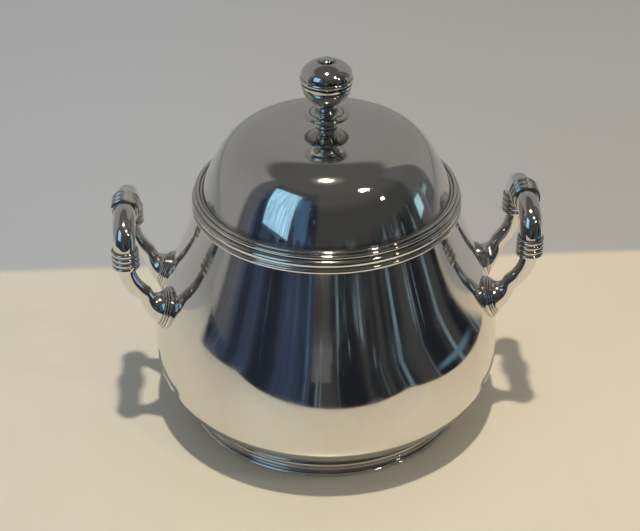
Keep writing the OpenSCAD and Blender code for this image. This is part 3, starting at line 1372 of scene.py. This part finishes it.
@dataclass
class Finial:
    """The turned finial, piece on piece. Sizes are millimetres."""

    finishes: Finishes
    hole: float = 1.55
    neck: float = 2.9
    stem: float = 2.5
    bead: float = 0.65

    def build(self) -> None:
        """Build the base, disc, cup, girdle, cap and button."""
        self._base()
        self._disc()
        self._cup()
        self._girdle()
        self._cap()
        self._button()

    def _finish(self, name: str, section: Section, closed: bool, *dips: tuple[float, float, float]) -> None:
        """Spin one piece and dress it.

        Args:
            name: The piece's name.
            section: Its section.
            closed: Whether the section closes on itself.
            *dips: Its grooves, darkened with tarnish and painted shade.
        """
        piece = Shop.turned(name, section, closed, SMALL_STEPS)
        self.finishes.dress(piece, self.finishes.finial, Body.LID, grooves(*dips) if dips else no_grooves)

    def _base(self) -> None:
        """A small bead, then a short stem."""
        crest = top_of("lid_dome")
        out = reach_of("finial_base")
        high = top_of("finial_base")
        middle = (out - self.bead, crest + self.bead)
        section = Section(self.hole, crest - 0.15)
        section.line(out - self.bead - 0.1, crest - 0.15)
        section.arc(middle, self.bead, -95, 82, 14)
        section.curve(
            (self.stem + 0.2, crest + 2 * self.bead - 0.05),
            (self.stem, crest + 2 * self.bead + 0.2),
            (self.stem, high),
            6,
        )
        section.line(self.hole, high)
        seam = (out - 0.4, crest - 0.05, 0.35)
        waist = (self.stem + 0.2, crest + 2 * self.bead + 0.1, 0.35)
        self._finish("silver_finial_base", section, True, seam, waist)

    def _disc(self) -> None:
        """A flat collar with a ring groove, and the neck above it."""
        low = foot_of("finial_disc")
        high = top_of("finial_disc")
        out = reach_of("finial_disc")
        rim = low + 1.7
        section = Section(self.hole, low)
        section.line(3.2, low)
        section.curve((4.4, low + 0.15), (out - 2.4, rim - 0.75), (out - 0.55, rim + 0.02), 8)
        section.arc((out - 0.6, rim + 0.62), 0.6, -80, 84, 14)
        section.curve((out - 1.2, rim + 1.32), (out - 1.5, rim + 1.42), (out - 1.85, rim + 1.44), 5)
        section.curve((out - 2.05, rim + 1.2), (out - 2.25, rim + 1.2), (out - 2.4, rim + 1.52), 6)
        section.curve(
            (out - 3.2, rim + 1.72),
            (self.neck + 1.2, rim + 1.95),
            (self.neck + 0.6, rim + 2.7),
            10,
        )
        section.curve((self.neck + 0.2, rim + 3.2), (self.neck, high - 0.8), (self.neck, high), 8)
        section.line(self.hole, high)
        ring = (out - 2.15, rim + 1.22, 0.34)
        neck = (self.neck + 0.1, high, 0.5)
        throat = (self.neck + 0.5, rim + 2.6, 0.9)
        under = (out - 0.8, rim + 0.0, 0.9)
        self._finish("silver_finial_disc", section, True, ring, neck, throat, under)

    def _cup(self) -> None:
        """The lower half of the ball, with a fine groove under its top."""
        low = foot_of("finial_cup")
        high = top_of("finial_cup")
        out = reach_of("finial_cup")
        tall = high - low
        start = math.asin(self.neck / out)
        groove = high - 1.35
        section = Section(self.hole, low + 3.2)
        section.line(self.hole, low)
        for step in range(33):
            angle = start + (math.pi / 2 - start) * step / 32
            radius = out * math.sin(angle)
            height = high - tall * math.cos(angle) / math.cos(start)
            dip = 0.24 * math.exp(-(((height - groove) / 0.17) ** 2))
            section.line(radius - dip, height)
        section.line(0.0, high)
        section.line(0.0, low + 3.2)
        line = (out - 0.2, groove, 0.3)
        seam = (out - 0.1, high, 0.35)
        throat = (self.neck, low, 0.4)
        self._finish("silver_finial_cup", section, True, line, seam, throat)

    def _girdle(self) -> None:
        """The round ring about the ball."""
        low = foot_of("finial_girdle")
        high = top_of("finial_girdle")
        out = reach_of("finial_girdle")
        half = (high - low) / 2
        section = Section(0.0, low)
        section.line(out - half - 0.1, low)
        section.arc((out - half, low + half), half, -90, 90, 18)
        section.line(0.0, high)
        self._finish("silver_finial_girdle", section, False, (out - 0.7, low, 0.4), (out - 0.7, high, 0.4))

    def _cap(self) -> None:
        """The upper part of the ball."""
        low = foot_of("finial_cap")
        high = top_of("finial_cap")
        out = reach_of("finial_cap")
        crown = reach_of("finial_button")
        end = math.acos(crown / out)
        section = Section(0.0, low)
        for step in range(29):
            angle = end * step / 28
            section.line(out * math.cos(angle), low + (high - low) * math.sin(angle) / math.sin(end))
        section.line(0.0, high)
        self._finish("silver_finial_cap", section, False, (out, low, 0.35), (crown + 0.2, high - 0.05, 0.5))

    def _button(self) -> None:
        """The small domed button."""
        low = foot_of("finial_button")
        high = top_of("finial_button")
        out = reach_of("finial_button")
        tall = high - low - 0.3
        section = Section(0.0, low)
        section.line(out - 0.35, low)
        section.line(out - 0.35, low + 0.18)
        for step in range(15):
            angle = math.radians(6 * step)
            radius = out * math.cos(angle)
            section.line(radius, low + 0.3 + tall * math.sin(angle))
        section.line(0.0, high)
        self._finish("silver_finial_button", section, False, (out - 0.1, low + 0.12, 0.42))


# ---------------------------------------------------------------- studio


# What the lights aim at, and the tone that the floor fades to far away.
AIM = Vector((0.0, 0.0, 0.06))
PALE = (0.52, 0.52, 0.515)


def direction(azimuth: float, elevation: float) -> Vector:
    """Give the direction from the bowl at an azimuth and elevation.

    Args:
        azimuth: Degrees from the front (-Y), rising towards +X.
        elevation: Degrees above the table.

    Returns:
        The unit vector.
    """
    turn = math.radians(azimuth)
    rise = math.radians(elevation)
    return Vector((math.sin(turn) * math.cos(rise), -math.cos(turn) * math.cos(rise), math.sin(rise)))


@dataclass(frozen=True)
class Drapes:
    """Upright soft streaks of a dim wall, with thin brighter ones between them."""

    dark: tuple[float, float, float]
    pale: tuple[float, float, float]
    gleam: tuple[float, float, float]
    scale: float
    share: float


LEFT_WALL = Drapes((0.018, 0.022, 0.034), (0.040, 0.058, 0.098), (0.07, 0.12, 0.20), 5.0, 0.62)
RIGHT_WALL = Drapes((0.014, 0.016, 0.020), (0.052, 0.052, 0.050), (0.16, 0.22, 0.26), 6.5, 0.59)


def streaked(graph: Graph, way: bpy.types.NodeSocket, drapes: Drapes) -> bpy.types.NodeSocket:
    """Paint upright streaks by direction.

    Args:
        graph: The graph of the floor or the room.
        way: The direction looked in.
        drapes: Colours and spacing.

    Returns:
        The colour.
    """
    upright = (1.0, 1.0, 0.10)
    soft = graph.noise(way, drapes.scale, 2.0, 0.5, upright).rise(0.40, 0.62)
    thin = graph.noise(way, 4.0 * drapes.scale, 1.0, 0.5, upright).rise(drapes.share, drapes.share + 0.06)
    return graph.mix(thin, graph.mix(soft, drapes.dark, drapes.pale), drapes.gleam)


@dataclass(frozen=True)
class Panel:
    """A soft light of the studio, placed by its direction from the bowl."""

    name: str
    azimuth: float
    elevation: float
    distance: float
    width: float
    height: float
    power: float
    colour: tuple[float, float, float]

    def build(self) -> None:
        """Add the light, aimed at the bowl."""
        away = direction(self.azimuth, self.elevation)
        lamp = bpy.data.lights.new(self.name, "AREA")
        lamp.shape = "ELLIPSE"
        lamp.size = self.width
        lamp.size_y = self.height
        lamp.energy = self.power
        lamp.color = self.colour
        made = bpy.data.objects.new(self.name, lamp)
        made.location = AIM + away * self.distance
        made.rotation_euler = away.to_track_quat("Z", "Y").to_euler()
        made.visible_camera = False
        bpy.context.scene.collection.objects.link(made)


@dataclass(frozen=True)
class Softbox:
    """A large soft light with thin bars across its face, seen in the silver."""

    name: str
    azimuth: float
    elevation: float
    distance: float
    width: float
    height: float
    strength: float
    colour: tuple[float, float, float]
    columns: int
    rows: int

    def build(self) -> None:
        """Add the glowing face, aimed at the bowl."""
        away = direction(self.azimuth, self.elevation)
        Shop.clear()
        bpy.ops.mesh.primitive_grid_add(x_subdivisions=self.columns, y_subdivisions=self.rows, size=1.0)
        face = bpy.context.active_object
        face.name = f"studio_{self.name}"
        Shop.edit(face)
        bpy.ops.mesh.inset(thickness=0.012, use_individual=True)
        bpy.ops.mesh.select_all(action="INVERT")
        bpy.ops.mesh.delete(type="FACE")
        Shop.clear()
        face.scale = (self.width, self.height, 1.0)
        face.rotation_euler = away.to_track_quat("Z", "Y").to_euler()
        face.location = AIM + away * self.distance
        face.visible_camera = False
        material = bpy.data.materials.new(self.name)
        material.use_nodes = True
        graph = Graph(material.node_tree)
        place = graph.node("ShaderNodeTexCoord").outputs["Object"]
        folds = graph.noise(place, 7.0, 3.0, 0.6, (3.0, 0.25, 1.0)).rise(0.30, 0.66)
        colour = graph.mix(folds, tuple(0.35 * c for c in self.colour), self.colour)
        glow = graph.node("ShaderNodeEmission", inputs={"Color": colour, "Strength": self.strength})
        graph.node("ShaderNodeOutputMaterial", inputs={"Surface": glow.outputs[0]})
        face.data.materials.append(material)


@dataclass
class Studio:
    """The pale floor, the room's soft light and the camera."""

    floor_size: float = 4.0
    camera_turn: float = -3.5
    camera_rise: float = 32.82
    camera_distance: float = 0.4945
    aim_height: float = 0.05423
    lens: float = 78.75
    shift: float = -0.0102
    panels: tuple[Panel, ...] = (
        Panel("lamp", 3.0, 84.5, 1.33, 0.055, 0.055, 12.0, (1.0, 0.92, 0.80)),
        Panel("lamp_right", 47.0, 51.0, 1.2, 0.07, 0.07, 0.9, (1.0, 0.90, 0.74)),
        Panel("lamp_far", 57.0, 31.0, 1.2, 0.035, 0.035, 0.25, (1.0, 0.86, 0.66)),
    )
    softboxes: tuple[Softbox, ...] = (
        Softbox("window", -50.0, 31.0, 1.2, 0.54, 0.70, 1.30, (0.42, 0.76, 1.0), 3, 4),
        Softbox("window_side", -27.0, 29.0, 1.2, 0.24, 0.56, 0.30, (0.28, 0.55, 1.0), 3, 2),
        Softbox("far_window", 90.0, 7.5, 1.6, 0.22, 0.20, 1.1, (0.55, 0.92, 1.0), 2, 2),
        Softbox("far_door", 103.0, 7.0, 1.6, 0.20, 0.10, 0.45, (0.75, 0.92, 1.0), 2, 1),
    )

    def build(self) -> None:
        """Build the floor, the room, the lights and the camera."""
        self._floor()
        self._room()
        for light in (*self.panels, *self.softboxes):
            light.build()
        self._camera()

    def _floor(self) -> None:
        """A plain pale floor, warm and stone-like; to reflected rays it glows beyond its edges with a painted
        reflection of the dim room and a far window.
        """
        Shop.clear()
        bpy.ops.mesh.primitive_plane_add(size=self.floor_size, location=(0, 0, 0))
        floor = bpy.context.active_object
        floor.name = "studio_floor"
        material = bpy.data.materials.new("pale_floor")
        material.use_nodes = True
        graph = Graph(material.node_tree)
        place = graph.node("ShaderNodeTexCoord").outputs["Object"]
        parts = graph.node("ShaderNodeSeparateXYZ", inputs={0: place})
        across = Term(graph, parts.outputs[0])
        deep = Term(graph, parts.outputs[1])
        veins = graph.noise(place, 9.0, 5.0, 0.6, (1.0, 0.5, 1.0), (0, 0, 30)).rise(0.35, 0.75)
        stone_colour = graph.mix(across.rise(-0.12, 0.14), (0.70, 0.65, 0.53), (0.76, 0.66, 0.49))
        stone_colour = graph.mix(veins * 0.35, stone_colour, (0.66, 0.56, 0.41))
        wall_colour = graph.mix(across.rise(-0.12, 0.14), (0.45, 0.455, 0.465), (0.44, 0.425, 0.395))
        back = deep.rise(0.0845, 0.0905)
        colour = graph.mix(back, stone_colour, wall_colour)
        # Painted reflection: beyond the edges below, reflected rays see the floor glow with the dim room's
        # streaks instead of stone.
        path = graph.node("ShaderNodeLightPath").outputs
        glossy = Term(graph, path["Is Glossy Ray"])
        front_edge = (across * 0.1 - deep).rise(0.186, 0.200)
        right_edge = across.rise(0.158, 0.166) * deep.rise(0.06, 0.03)
        left_edge = (0.0 - across).rise(0.36, 0.38) * deep.rise(0.0, -0.05)
        beyond = front_edge.larger(right_edge).larger(left_edge)
        # A bluish patch in that painted reflection stands for a far window.
        glow = across.inside(0.21, 0.26, 0.02) * deep.inside(-0.11, 0.0, 0.03)
        far = (across * across + deep * deep + 0.0001) ** 0.5
        level = graph.node("ShaderNodeCombineXYZ", inputs={0: across / far, 1: deep / far, 2: 0.0}).outputs[0]
        to_right = (across / far).rise(-0.30, -0.14)
        dusk = graph.mix(to_right, streaked(graph, level, LEFT_WALL), streaked(graph, level, RIGHT_WALL))
        dusk = graph.mix(glow, dusk, (0.10, 0.19, 0.24))
        away = far.rise(0.45, 1.5)
        stone = graph.node(
            "ShaderNodeBsdfPrincipled",
            inputs={"Base Color": colour, "Roughness": 0.32, "Specular IOR Level": 0.35},
        )
        shade = graph.node("ShaderNodeEmission", inputs={"Color": dusk, "Strength": 1.0})
        mixed = graph.node(
            "ShaderNodeMixShader", inputs={0: glossy * beyond, 1: stone.outputs[0], 2: shade.outputs[0]}
        )
        haze = graph.node("ShaderNodeEmission", inputs={"Color": (*PALE, 1.0), "Strength": 1.0})
        seen = graph.node(
            "ShaderNodeMixShader",
            inputs={0: away * Term(graph, path["Is Camera Ray"]), 1: mixed.outputs[0], 2: haze.outputs[0]},
        )
        graph.node("ShaderNodeOutputMaterial", inputs={"Surface": seen.outputs[0]})
        floor.data.materials.append(material)

    def _room(self) -> None:
        """A dim room on the camera's side, pale walls behind and a lighter ceiling."""
        world = bpy.data.worlds.new("room")
        bpy.context.scene.world = world
        world.use_nodes = True
        graph = Graph(world.node_tree)
        way = graph.node("ShaderNodeTexCoord").outputs["Generated"]
        parts = graph.node("ShaderNodeSeparateXYZ", inputs={0: way})
        across = Term(graph, parts.outputs[0])
        deep = Term(graph, parts.outputs[1])
        high = Term(graph, parts.outputs[2])
        level = (across * across + deep * deep + 0.0001) ** 0.5
        ahead = (across * 0.13 - deep * 0.99) / level
        side = across / level
        front = (ahead + side.rise(0.1, 0.9) * 0.16 - side.rise(-0.1, -0.9) * 0.08).rise(-0.20, -0.12)
        edge = ahead.rise(0.22, 0.10)
        wall = graph.mix(high.rise(0.0, 0.9), (0.285, 0.285, 0.29), (0.24, 0.24, 0.235))
        wall = graph.mix(side.rise(-0.6, 0.6) * 0.5, wall, (0.27, 0.255, 0.225))
        dim_left = streaked(graph, way, LEFT_WALL)
        dim_left = graph.mix(high.rise(0.55, 0.72), dim_left, (0.060, 0.060, 0.062))
        low_right = streaked(graph, way, RIGHT_WALL)
        high_right = graph.mix(high.rise(0.48, 0.68), (0.055, 0.055, 0.053), (0.085, 0.084, 0.078))
        dim_right = graph.mix(high.rise(0.14, 0.30), low_right, high_right)
        dim = graph.mix(side.rise(-0.26, -0.18), dim_left, dim_right)
        pillar = side.inside(-0.22, -0.02, 0.02) * high.rise(0.22, 0.12)
        dim = graph.mix(pillar * 0.7, dim, (0.15, 0.145, 0.14))
        dim = graph.mix(edge * 0.7, dim, (0.13, 0.13, 0.13))
        colour = graph.mix(front, wall, dim)
        ceiling = high.rise(0.76, 0.84)
        colour = graph.mix(ceiling, colour, (0.095, 0.093, 0.087))
        halo = (high - deep * 0.09 + across * 0.01).rise(0.982, 1.006)
        colour = graph.mix(halo, colour, (0.26, 0.235, 0.20))
        path = graph.node("ShaderNodeLightPath").outputs
        colour = graph.mix(Term(graph, path["Is Glossy Ray"]), (0.30, 0.33, 0.38), colour)
        colour = graph.mix(Term(graph, path["Is Camera Ray"]), colour, PALE)
        background = graph.node("ShaderNodeBackground", inputs={"Color": colour, "Strength": 1.0})
        graph.node("ShaderNodeOutputWorld", inputs={"Surface": background.outputs[0]})

    def _camera(self) -> None:
        """The camera, a little above the bowl and turned slightly to its left."""
        away = direction(self.camera_turn, self.camera_rise)
        data = bpy.data.cameras.new("camera")
        data.lens = self.lens
        data.sensor_width = 36.0
        data.shift_x = self.shift
        data.clip_start = 0.01
        camera = bpy.data.objects.new("camera", data)
        camera.location = Vector((0.0, 0.0, self.aim_height)) + away * self.camera_distance
        camera.rotation_euler = away.to_track_quat("Z", "Y").to_euler()
        bpy.context.scene.collection.objects.link(camera)
        bpy.context.scene.camera = camera
        bpy.context.scene.view_settings.view_transform = "Standard"
        bpy.context.scene.view_settings.look = "None"


def main() -> None:
    logging.basicConfig(level=logging.INFO, format="%(message)s")
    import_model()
    finishes = Finishes()
    bowl = Bowl(finishes)
    bowl.build()
    Handles(finishes, bowl).build()
    Lid(finishes).build()
    Finial(finishes).build()
    Studio().build()
    Shop.clear()


if __name__ == "__main__":
    main()
